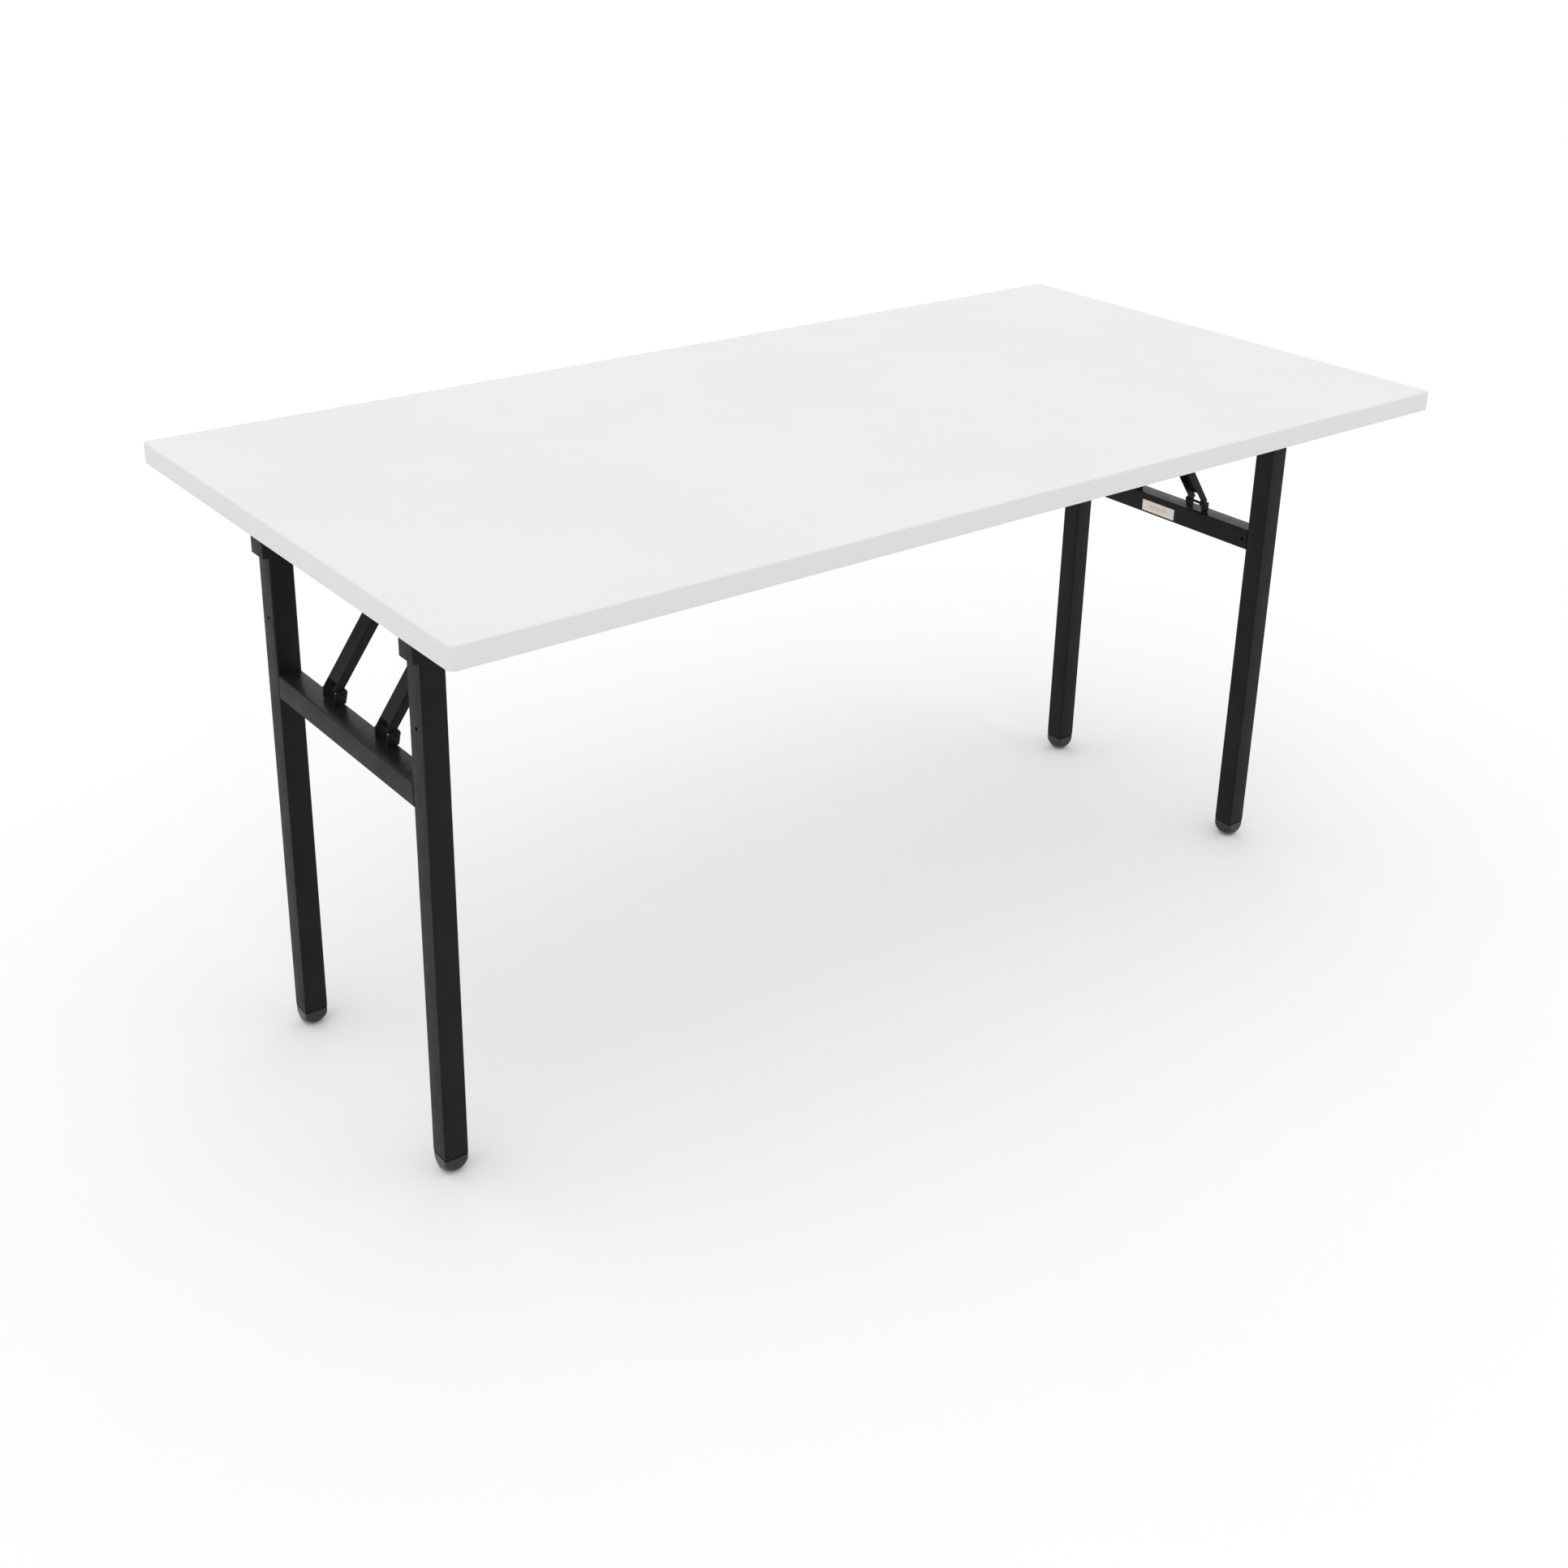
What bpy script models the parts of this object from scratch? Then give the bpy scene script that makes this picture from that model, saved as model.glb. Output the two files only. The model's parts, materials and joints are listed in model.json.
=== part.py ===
"""Folding table: a laminate-faced top on two folding steel leg frames.

Frame: +X along the length, +Y across the depth, +Z up, in metres. The origin is
on the floor under the middle of the top. Each leg frame turns about bolts in four
housings under the top. Two braces tie each frame to a cross rod, whose bushes
slide in slotted guides under the top as the frame folds inward.
"""

import math

import bmesh
import bpy
from mathutils import Matrix, Vector

# Driving dimensions
TOP_LENGTH = 1.500
TOP_DEPTH = 0.750
TOP_THICKNESS = 0.025
TABLE_HEIGHT = 0.740
CORNER_RADIUS = 0.008
LAMINATE = 0.0009
EDGE_BAND = 0.0020
GAP = 0.0003

TUBE = 0.030
TUBE_WALL = 0.0015
TUBE_CORNER = 0.0022
LEG_X = 0.675
LEG_Y = 0.1816
LEG_BOTTOM = 0.0235
LEG_ABOVE_PIVOT = 0.0135
GLIDE_DOME = 0.0215
GLIDE_FLAT = 0.0004
CROSSBAR_Z = 0.4797
VENT_RADIUS = 0.0024
VENT_Z = 0.564
VENT_INSET = 0.008

PIVOT_Z = 0.655
HOUSING_SHEET = 0.0012
HOUSING_SIDE_GAP = 0.0004
HOUSING_FACE_X = 0.6976
HOUSING_INNER_X = 0.652
HOUSING_BOTTOM = 0.644
HOUSING_FLANGE = 0.017
HOUSING_HEEL_X = 0.672
HOUSING_SHOULDER_X = 0.645
HOUSING_SHOULDER_Z = 0.669
BOLT_RADIUS = 0.0040
BOLT_HEAD_RADIUS = 0.0072
BOLT_HEAD_HEIGHT = 0.0026
BOLT_TAIL = 0.0072
BOLT_CHAMFER = 0.0006
NUT_RADIUS = 0.0075
NUT_THICKNESS = 0.0050
HEAD_GAP = 0.0004
RUNNING_GAP = 0.0003

LUG_Y = 0.0645
LUG_WIDTH = 0.0315
LUG_SHEET = 0.0024
LUG_OUTER_X = 0.6740
LUG_BASE_INNER_X = 0.6602
PIN_X = 0.6620
PIN_Z = 0.510
PIN_RADIUS = 0.0020
PIN_HEAD_RADIUS = 0.0038
PIN_HEAD_HEIGHT = 0.0018
EAR_RADIUS = 0.0042
EAR_CORNER = 0.0012
EAR_START = math.radians(185)
EAR_END = math.radians(50)
EAR_CORNER_START = math.radians(60)

BRACE_WIDTH = 0.0258
BRACE_SHEET = 0.0020
BRACE_BACK = 0.0062
BRACE_LIP = 0.0068
BRACE_FOOT_BACK = 0.0117
BRACE_FOOT_LIP = -0.0007
BRACE_EAR = 0.0045
BRACE_WEB_CUT = 0.0066
BRACE_END_ROUND = 0.0015
BRACE_ANGLE = math.radians(57.0)
BRACE_FOLDED_ANGLE = math.radians(8.5)
ROD_Z = 0.697
ROD_RADIUS = 0.0030
ROD_HALF = 0.0945
ROD_CHAMFER = 0.0006
BUSH_RADIUS = 0.0050
BUSH_LENGTH = 0.0090

GUIDE_Y = 0.0842
GUIDE_SHEET = 0.0025
GUIDE_MARGIN = 0.0060
GUIDE_FLANGE = 0.020
GUIDE_SHOULDER = 0.4
SLOT_GAP = 0.0005
CATCH_SHEET = 0.0008
CATCH_WIDTH = 0.009
CATCH_LENGTH = 0.062
CATCH_FOOT = 0.018
CATCH_NOSE_SHARE = 0.05
CATCH_NOSE_GAP = 0.0012
CATCH_BEND = 0.0036
CATCH_DIP = 0.0012
# The nose in bends along and nose gaps up from the rod's place
CATCH_NOSE = ((-3.0, 2.5), (-1.0, 0.5), (0.0, 0.0), (1.0, 1.0), (2.0, 3.3))

LABEL_LENGTH = 0.063
LABEL_HEIGHT = 0.0170
LABEL_SHEET = 0.0003
LABEL_Y = 0.0035
LABEL_Z = 0.4768

SIDES = {"left": -1, "right": 1}
DEPTHS = {"front": -1, "rear": 1}

# Derived places
UNDERSIDE = TABLE_HEIGHT - TOP_THICKNESS
FIX_Z = UNDERSIDE - GAP
BRACE_LENGTH = (ROD_Z - PIN_Z) / math.sin(BRACE_ANGLE)
CROSSBAR_TOP = CROSSBAR_Z + TUBE / 2


# Scene and helpers

def clear_scene():
    for item in list(bpy.data.objects):
        bpy.data.objects.remove(item, do_unlink=True)


def new_collection(name):
    collection = bpy.data.collections.new(name)
    bpy.context.scene.collection.children.link(collection)
    return collection


def make_material(name, colour, roughness, metallic=0.0):
    material = bpy.data.materials.new(name)
    material.use_nodes = True
    shader = material.node_tree.nodes["Principled BSDF"]
    shader.inputs["Base Color"].default_value = (*colour, 1.0)
    shader.inputs["Roughness"].default_value = roughness
    shader.inputs["Metallic"].default_value = metallic
    material.diffuse_color = (*colour, 1.0)
    return material


clear_scene()
TABLE = new_collection("folding_table")
CUTTERS = new_collection("cutters")

MELAMINE = make_material("white_melamine", (0.84, 0.84, 0.83), 0.42)
BAND = make_material("white_edge_band", (0.74, 0.74, 0.74), 0.45)
CORE = make_material("particle_board", (0.48, 0.35, 0.22), 0.85)
BACKING = make_material("underside_laminate", (0.78, 0.78, 0.76), 0.55)
PAINT = make_material("black_powder_coat", (0.012, 0.012, 0.013), 0.38)
STEEL = make_material("zinc_plated_steel", (0.55, 0.55, 0.56), 0.32, 1.0)
PLASTIC = make_material("black_plastic", (0.010, 0.010, 0.011), 0.30)
NYLON = make_material("grey_nylon", (0.45, 0.45, 0.44), 0.50)
SPRING = make_material("spring_steel", (0.28, 0.29, 0.31), 0.35, 1.0)
PAPER = make_material("label_paper", (0.80, 0.74, 0.68), 0.60)


def add_object(name, mesh, material, collection=None):
    item = bpy.data.objects.new(name, mesh)
    (collection or TABLE).objects.link(item)
    if material:
        mesh.materials.append(material)
    return item


def mesh_from_bmesh(name, shape):
    bmesh.ops.recalc_face_normals(shape, faces=shape.faces)
    mesh = bpy.data.meshes.new(name)
    shape.to_mesh(mesh)
    shape.free()
    return mesh


def box_mesh(name, low, high):
    centre = (Vector(low) + Vector(high)) / 2
    size = Vector(high) - Vector(low)
    place = Matrix.Translation(centre) @ Matrix.Diagonal((*size, 1.0))
    shape = bmesh.new()
    bmesh.ops.create_cube(shape, size=1.0, matrix=place)
    return mesh_from_bmesh(name, shape)


def make_box(name, low, high, material=None, collection=None):
    return add_object(name, box_mesh(name, low, high), material, collection)


def mirrored(side, outline):
    """An outline given as distances from the middle and heights, on one side's X."""
    return [(side * distance, height) for distance, height in outline]


def spread(side, near, far):
    """Low and high X of a span that lies between two distances from the middle."""
    return sorted((side * near, side * far))


def make_prism(name, outlines, middle, thickness, frame, material=None, collection=None):
    """Extrude closed outlines: the first is the boundary, the others are holes.

    frame turns the outline's plane into the world, and middle is its centre."""
    curve = bpy.data.curves.new(name, "CURVE")
    curve.dimensions = "2D"
    curve.fill_mode = "BOTH"
    curve.extrude = thickness / 2
    for outline in outlines:
        spline = curve.splines.new("POLY")
        spline.points.add(len(outline) - 1)
        for point, (across, up) in zip(spline.points, outline):
            point.co = (across, up, 0.0, 1.0)
        spline.use_cyclic_u = True
    holder = bpy.data.objects.new(name + "_outline", curve)
    CUTTERS.objects.link(holder)
    bpy.context.view_layer.update()
    evaluated = holder.evaluated_get(bpy.context.evaluated_depsgraph_get())
    mesh = bpy.data.meshes.new_from_object(evaluated)
    mesh.name = name
    bpy.data.objects.remove(holder, do_unlink=True)
    shape = bmesh.new()
    shape.from_mesh(mesh)
    bmesh.ops.remove_doubles(shape, verts=shape.verts, dist=0.00001)
    bmesh.ops.transform(shape, matrix=Matrix.Translation(middle) @ frame, verts=shape.verts)
    bmesh.ops.recalc_face_normals(shape, faces=shape.faces)
    shape.to_mesh(mesh)
    shape.free()
    mesh.materials.clear()
    return add_object(name, mesh, material, collection)


# Outline planes: local x, y and z as world directions
PLAN = Matrix.Identity(4)
FRONT_VIEW = Matrix(((1, 0, 0, 0), (0, 0, -1, 0), (0, 1, 0, 0), (0, 0, 0, 1)))
END_VIEW = Matrix(((0, 0, 1, 0), (1, 0, 0, 0), (0, 1, 0, 0), (0, 0, 0, 1)))


def arc(centre, radius, start, end, steps):
    points = []
    for step in range(steps + 1):
        angle = start + (end - start) * step / steps
        points.append((centre[0] + radius * math.cos(angle), centre[1] + radius * math.sin(angle)))
    return points


def rounded_rectangle(width, height, radius, steps=4):
    points = []
    for turn, (across, up) in enumerate(((1, 1), (-1, 1), (-1, -1), (1, -1))):
        centre = (across * (width / 2 - radius), up * (height / 2 - radius))
        start = turn * math.pi / 2
        points += arc(centre, radius, start, start + math.pi / 2, steps)
    return points


def circle(centre, radius, steps=18):
    return arc(centre, radius, 0.0, 2 * math.pi, steps)[:-1]


def cut(target, cutter, operation="DIFFERENCE"):
    modifier = target.modifiers.new(cutter.name, "BOOLEAN")
    modifier.object = cutter
    modifier.operation = operation
    modifier.solver = "EXACT"
    cutter.hide_render = True
    cutter.display_type = "WIRE"


def drill(target, x, z, radius, y=0.0, depth=0.2, steps=18):
    """Cut a round hole along Y through a piece."""
    cutter = make_prism(target.name + "_drill_%d" % len(target.modifiers), [circle((0, 0), radius, steps)],
                        (x, y, z), depth, FRONT_VIEW, collection=CUTTERS)
    cut(target, cutter)


def join(target, low, high):
    """Weld a box onto a piece."""
    cutter = make_box(target.name + "_wall_%d" % len(target.modifiers), low, high, collection=CUTTERS)
    cut(target, cutter, "UNION")


def make_turned(name, profile, middle, material, along_y=1, steps=20):
    """Spin a profile of (radius, height) points, whose axis is turned to lie along Y."""
    shape = bmesh.new()
    verts = [shape.verts.new((radius, 0.0, height)) for radius, height in profile]
    for first, second in zip(verts, verts[1:]):
        shape.edges.new((first, second))
    mesh = bpy.data.meshes.new(name)
    shape.to_mesh(mesh)
    shape.free()
    item = add_object(name, mesh, material)
    screw = item.modifiers.new("spin", "SCREW")
    screw.axis = "Z"
    screw.angle = 2 * math.pi
    screw.steps = steps
    screw.render_steps = steps
    screw.use_merge_vertices = True
    screw.merge_threshold = 0.00001
    item.location = middle
    item.rotation_euler = (-along_y * math.pi / 2, 0.0, 0.0)
    return item


def dome_profile(radius, height, seat, steps=4):
    """Profile of a low domed head, from the crown out to the rim on its seat."""
    turns = [math.pi / 2 * step / steps for step in range(steps + 1)]
    return [(radius * math.sin(turn), seat + height * math.cos(turn)) for turn in turns]


def shade(item, angle=35):
    item.data.shade_smooth()
    item.data.set_sharp_from_angle(angle=math.radians(angle))


# Fold geometry, worked out for the right-hand end as distances from the middle

def folded_point(inboard, up, fold):
    """Distance from the middle and height of a leg-frame point when the frame has
    turned by fold. inboard and up are measured from the pivot at rest."""
    distance = LEG_X - inboard * math.cos(fold) + up * math.sin(fold)
    height = PIVOT_Z + inboard * math.sin(fold) + up * math.cos(fold)
    return distance, height


def rod_place(share):
    """Distance from the middle and height of the cross rod at a share of the fold.

    The brace turns at a constant rate from its rest angle to its folded angle."""
    fold = share * math.pi / 2
    pin_distance, pin_height = folded_point(LEG_X - PIN_X, PIN_Z - PIVOT_Z, fold)
    angle = BRACE_ANGLE + share * (BRACE_FOLDED_ANGLE - BRACE_ANGLE)
    distance = pin_distance - BRACE_LENGTH * math.cos(angle)
    height = pin_height + BRACE_LENGTH * math.sin(angle)
    return distance, height


def rod_path(steps=18):
    return [rod_place(step / steps) for step in range(steps + 1)]


def path_outline(radius, steps=18, cap_steps=6):
    """Closed outline at a distance all round the cross rod's path."""
    path = [Vector(point) for point in rod_path(steps)]
    one_side = []
    other_side = []
    for index, point in enumerate(path):
        before = path[max(index - 1, 0)]
        after = path[min(index + 1, steps)]
        along = (after - before).normalized()
        normal = Vector((-along.y, along.x))
        one_side.append(tuple(point + normal * radius))
        other_side.append(tuple(point - normal * radius))
    start_along = (path[1] - path[0]).normalized()
    end_along = (path[-1] - path[-2]).normalized()
    start_angle = math.atan2(start_along.y, start_along.x) - math.pi / 2
    end_angle = math.atan2(end_along.y, end_along.x) + math.pi / 2
    end_cap = arc(path[-1], radius, end_angle, end_angle - math.pi, cap_steps)[1:-1]
    start_cap = arc(path[0], radius, start_angle, start_angle - math.pi, cap_steps)[1:-1]
    return one_side + end_cap + other_side[::-1] + start_cap


# Table top

def make_top():
    inner_length = TOP_LENGTH - 2 * (EDGE_BAND + GAP)
    inner_depth = TOP_DEPTH - 2 * (EDGE_BAND + GAP)
    inner_radius = CORNER_RADIUS - EDGE_BAND - GAP
    inner = rounded_rectangle(inner_length, inner_depth, inner_radius)
    core_low = UNDERSIDE + LAMINATE + GAP
    core_high = TABLE_HEIGHT - LAMINATE - GAP
    layers = (
        ("top_core", core_low, core_high, CORE),
        ("top_laminate", TABLE_HEIGHT - LAMINATE, TABLE_HEIGHT, MELAMINE),
        ("underside_laminate", UNDERSIDE, UNDERSIDE + LAMINATE, BACKING),
    )
    for name, low, high, material in layers:
        make_prism(name, [inner], (0, 0, (low + high) / 2), high - low, PLAN, material)
    outer = rounded_rectangle(TOP_LENGTH, TOP_DEPTH, CORNER_RADIUS)
    band_inner = rounded_rectangle(TOP_LENGTH - 2 * EDGE_BAND, TOP_DEPTH - 2 * EDGE_BAND,
                                   CORNER_RADIUS - EDGE_BAND)
    middle = (0, 0, TABLE_HEIGHT - TOP_THICKNESS / 2)
    make_prism("edge_band", [outer, band_inner], middle, TOP_THICKNESS, PLAN, BAND)


# Hinge housings and their bolts

def make_housing(end, side, place, depth):
    name = "hinge_housing_%s_%s" % (end, place)
    y = depth * LEG_Y
    clear = TUBE / 2 + HOUSING_SIDE_GAP
    half = clear + HOUSING_SHEET
    reach = half + HOUSING_FLANGE
    low_x, high_x = spread(side, HOUSING_INNER_X, HOUSING_FACE_X)
    housing = make_box(name, (low_x, y - half, HOUSING_BOTTOM), (high_x, y + half, FIX_Z), PAINT)
    mouth_low, mouth_high = spread(side, HOUSING_INNER_X - TUBE, HOUSING_FACE_X - HOUSING_SHEET)
    mouth = make_box(name + "_mouth", (mouth_low, y - clear, HOUSING_BOTTOM - TUBE),
                     (mouth_high, y + clear, FIX_Z - HOUSING_SHEET), collection=CUTTERS)
    cut(housing, mouth)
    past = HOUSING_SHOULDER_X - TUBE
    slope = [(past, HOUSING_BOTTOM - TUBE), (HOUSING_HEEL_X, HOUSING_BOTTOM - HOUSING_SHEET),
             (HOUSING_SHOULDER_X, HOUSING_SHOULDER_Z), (past, HOUSING_SHOULDER_Z)]
    trimmer = make_prism(name + "_slope", [mirrored(side, slope)], (0, y, 0), 4 * half, FRONT_VIEW,
                         collection=CUTTERS)
    cut(housing, trimmer)
    join(housing, (low_x, y - reach, FIX_Z - HOUSING_SHEET), (high_x, y + reach, FIX_Z))
    drill(housing, side * LEG_X, PIVOT_Z, BOLT_RADIUS + RUNNING_GAP, y)
    make_bolt(end, side, place, depth, half)


def make_bolt(end, side, place, depth, half):
    """Shoulder bolt with a low domed head on the outer side and a nut on the inner."""
    seat = half + HEAD_GAP
    head = dome_profile(BOLT_HEAD_RADIUS, BOLT_HEAD_HEIGHT, seat) + [(BOLT_RADIUS, seat)]
    tail = -half - BOLT_TAIL
    shaft = [(BOLT_RADIUS, tail + BOLT_CHAMFER), (BOLT_RADIUS - BOLT_CHAMFER, tail), (0.0, tail)]
    middle = (side * LEG_X, depth * LEG_Y, PIVOT_Z)
    make_turned("hinge_bolt_%s_%s" % (end, place), head + shaft, middle, STEEL, depth)
    hexagon = circle((0, 0), NUT_RADIUS, 6)
    hole = circle((0, 0), BOLT_RADIUS + RUNNING_GAP)
    nut_y = depth * (LEG_Y - seat - NUT_THICKNESS / 2)
    make_prism("hinge_nut_%s_%s" % (end, place), [hexagon, hole], (side * LEG_X, nut_y, PIVOT_Z),
               NUT_THICKNESS, FRONT_VIEW, STEEL)


# Leg frame

def make_leg(end, side, place, depth):
    name = "leg_%s_%s" % (end, place)
    top = PIVOT_Z + LEG_ABOVE_PIVOT
    outer = rounded_rectangle(TUBE, TUBE, TUBE_CORNER, 3)
    inner = rounded_rectangle(TUBE - 2 * TUBE_WALL, TUBE - 2 * TUBE_WALL, TUBE_CORNER - TUBE_WALL, 1)
    middle = (side * LEG_X, depth * LEG_Y, (top + LEG_BOTTOM) / 2)
    leg = make_prism(name, [outer, inner], middle, top - LEG_BOTTOM, PLAN, PAINT)
    drill(leg, side * LEG_X, PIVOT_Z, BOLT_RADIUS + RUNNING_GAP, depth * LEG_Y, 2 * TUBE)
    vent = make_prism(name + "_vent", [circle((0, 0), VENT_RADIUS, 12)],
                      (side * (LEG_X + TUBE / 2), depth * LEG_Y, VENT_Z), TUBE / 2, END_VIEW,
                      collection=CUTTERS)
    cut(leg, vent)
    shade(leg)
    make_glide(end, side, place, depth)


def make_glide(end, side, place, depth):
    """Plastic foot as wide as the tube, domed down to a small flat."""
    name = "foot_glide_%s_%s" % (end, place)
    top = LEG_BOTTOM - GAP
    x = side * LEG_X
    y = depth * LEG_Y
    half = TUBE / 2
    glide = make_box(name, (x - half, y - half, 0.0), (x + half, y + half, top), PLASTIC)
    shape = bmesh.new()
    dome = Matrix.Translation((x, y, top)) @ Matrix.Diagonal((GLIDE_DOME, GLIDE_DOME, top + GLIDE_FLAT, 1.0))
    bmesh.ops.create_uvsphere(shape, u_segments=28, v_segments=22, radius=1.0, matrix=dome)
    cutter = add_object(name + "_dome", mesh_from_bmesh(name + "_dome", shape), None, CUTTERS)
    cut(glide, cutter, "INTERSECT")
    shade(glide)


def make_crossbar(end, side):
    name = "crossbar_%s" % end
    half = LEG_Y - TUBE / 2 - GAP
    outer = rounded_rectangle(TUBE, TUBE, TUBE_CORNER, 3)
    inner = rounded_rectangle(TUBE - 2 * TUBE_WALL, TUBE - 2 * TUBE_WALL, TUBE_CORNER - TUBE_WALL, 1)
    bar = make_prism(name, [outer, inner], (side * LEG_X, 0, CROSSBAR_Z), 2 * half, FRONT_VIEW, PAINT)
    for place, depth in DEPTHS.items():
        vent = make_prism("%s_vent_%s" % (name, place), [circle((0, 0), VENT_RADIUS, 12)],
                          (side * (LEG_X - TUBE / 2), depth * (half - VENT_INSET), CROSSBAR_Z), TUBE / 2,
                          END_VIEW, collection=CUTTERS)
        cut(bar, vent)
    shade(bar)


def make_lug(end, side, place, depth):
    """U-shaped lug welded on the crossbar: a base and two round-topped ears."""
    name = "brace_lug_%s_%s" % (end, place)
    y = depth * LUG_Y
    base = CROSSBAR_TOP + GAP
    ear = [(LUG_OUTER_X, base), (LUG_BASE_INNER_X, base), (LUG_BASE_INNER_X, base + LUG_SHEET)]
    ear += arc((PIN_X, PIN_Z), EAR_RADIUS, EAR_START, EAR_END, 10)
    ear += arc((LUG_OUTER_X - EAR_CORNER, PIN_Z - EAR_CORNER), EAR_CORNER, EAR_CORNER_START, 0.0, 3)
    hole = circle((PIN_X, PIN_Z), PIN_RADIUS + RUNNING_GAP)
    outlines = [mirrored(side, ear), mirrored(side, hole)]
    lug = make_prism(name, outlines, (0, y, 0), LUG_WIDTH, FRONT_VIEW, PAINT)
    inner = LUG_WIDTH / 2 - LUG_SHEET
    low_x, high_x = spread(side, LUG_BASE_INNER_X - TUBE, LUG_OUTER_X + TUBE)
    mouth = make_box(name + "_mouth", (low_x, y - inner, base + LUG_SHEET),
                     (high_x, y + inner, PIN_Z + TUBE), collection=CUTTERS)
    cut(lug, mouth)
    shade(lug)
    head = LUG_WIDTH / 2 + GAP
    rivet = dome_profile(PIN_HEAD_RADIUS, PIN_HEAD_HEIGHT, head)
    profile = rivet + [(PIN_RADIUS, head), (PIN_RADIUS, -head)]
    profile += [(radius, -height) for radius, height in reversed(rivet)]
    make_turned("lug_pin_%s_%s" % (end, place), profile, (side * PIN_X, y, PIN_Z), PAINT, depth)


# Brace set

def make_brace(end, side, place, depth):
    """U-channel whose back faces up and out, cut back at both ends to leave ears.

    Its outline runs from the lug pin to the rod, with the back at +up. The channel sits
    further up at the pin and tapers, so that its lips clear the crossbar when folded."""
    name = "brace_%s_%s" % (end, place)
    radius = (BRACE_BACK + BRACE_LIP) / 2
    centre = (BRACE_BACK - BRACE_LIP) / 2
    lip_turn = math.asin(BRACE_FOOT_LIP / BRACE_EAR)
    foot_arc = arc((0.0, 0.0), BRACE_EAR, math.pi, 2 * math.pi - lip_turn, 10)
    head_arc = arc((BRACE_LENGTH, centre), radius, -math.pi / 2, math.pi / 2, 10)
    end_centre = (BRACE_END_ROUND - BRACE_EAR, BRACE_FOOT_BACK - BRACE_END_ROUND)
    outline = foot_arc + head_arc + arc(end_centre, BRACE_END_ROUND, math.pi / 2, math.pi, 3)
    pin_hole = circle((0.0, 0.0), PIN_RADIUS + RUNNING_GAP)
    rod_hole = circle((BRACE_LENGTH, 0.0), ROD_RADIUS + RUNNING_GAP)
    along = Vector((-side * math.cos(BRACE_ANGLE), 0.0, math.sin(BRACE_ANGLE)))
    outward = Vector((side * math.sin(BRACE_ANGLE), 0.0, math.cos(BRACE_ANGLE)))
    turn = Matrix((along, outward, (0.0, 1.0, 0.0))).transposed().to_4x4()
    foot = (side * PIN_X, depth * LUG_Y, PIN_Z)
    brace = make_prism(name, [outline, pin_hole, rod_hole], foot, BRACE_WIDTH, turn, PAINT)
    far = BRACE_WIDTH
    far_web = BRACE_LENGTH - BRACE_WEB_CUT
    rise = (BRACE_FOOT_BACK - BRACE_BACK) / BRACE_LENGTH
    inner_foot = BRACE_BACK - BRACE_SHEET + rise * far_web
    inner_head = BRACE_BACK - BRACE_SHEET + rise * BRACE_WEB_CUT
    hollow = [(-far, -far), (BRACE_LENGTH + far, -far), (BRACE_LENGTH + far, far), (far_web, far),
              (far_web, inner_head), (BRACE_WEB_CUT, inner_foot), (BRACE_WEB_CUT, far), (-far, far)]
    cutter = make_prism(name + "_hollow", [hollow], foot, BRACE_WIDTH - 2 * BRACE_SHEET, turn,
                        collection=CUTTERS)
    cut(brace, cutter)
    shade(brace)


def make_rod(end, side):
    rod_distance, rod_height = rod_place(0.0)
    upper = [(0.0, ROD_HALF), (ROD_RADIUS - ROD_CHAMFER, ROD_HALF), (ROD_RADIUS, ROD_HALF - ROD_CHAMFER)]
    profile = upper + [(radius, -height) for radius, height in reversed(upper)]
    middle = (side * rod_distance, 0, rod_height)
    make_turned("cross_rod_%s" % end, profile, middle, STEEL)
    for place, depth in DEPTHS.items():
        bush = [circle((0, 0), BUSH_RADIUS, 24), circle((0, 0), ROD_RADIUS + RUNNING_GAP, 24)]
        bush_middle = (side * rod_distance, depth * GUIDE_Y, rod_height)
        make_prism("slide_bush_%s_%s" % (end, place), bush, bush_middle, BUSH_LENGTH, FRONT_VIEW,
                   NYLON)


# Guides under the top

def make_guide(end, side, place, depth):
    """Slotted sheet with a flange: the slot follows the cross rod as the frame folds."""
    name = "brace_guide_%s_%s" % (end, place)
    slot_radius = BUSH_RADIUS + SLOT_GAP
    rim = slot_radius + GUIDE_MARGIN
    path = rod_path()
    start_x = path[0][0] + rim
    end_x = path[-1][0] - rim
    lower = [(distance, height - rim) for distance, height in path]
    outline = [(start_x, FIX_Z), (start_x, path[0][1] - rim * GUIDE_SHOULDER)] + lower
    outline += [(end_x, path[-1][1] - rim * GUIDE_SHOULDER), (end_x, FIX_Z)]
    outlines = [mirrored(side, outline), mirrored(side, path_outline(slot_radius))]
    guide = make_prism(name, outlines, (0, depth * GUIDE_Y, 0), GUIDE_SHEET, FRONT_VIEW, PAINT)
    low_x, high_x = spread(side, end_x, start_x)
    near = GUIDE_Y - GUIDE_SHEET / 2
    low_y, high_y = sorted((depth * near, depth * (near + GUIDE_FLANGE)))
    join(guide, (low_x, low_y, FIX_Z - GUIDE_SHEET), (high_x, high_y, FIX_Z))


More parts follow.
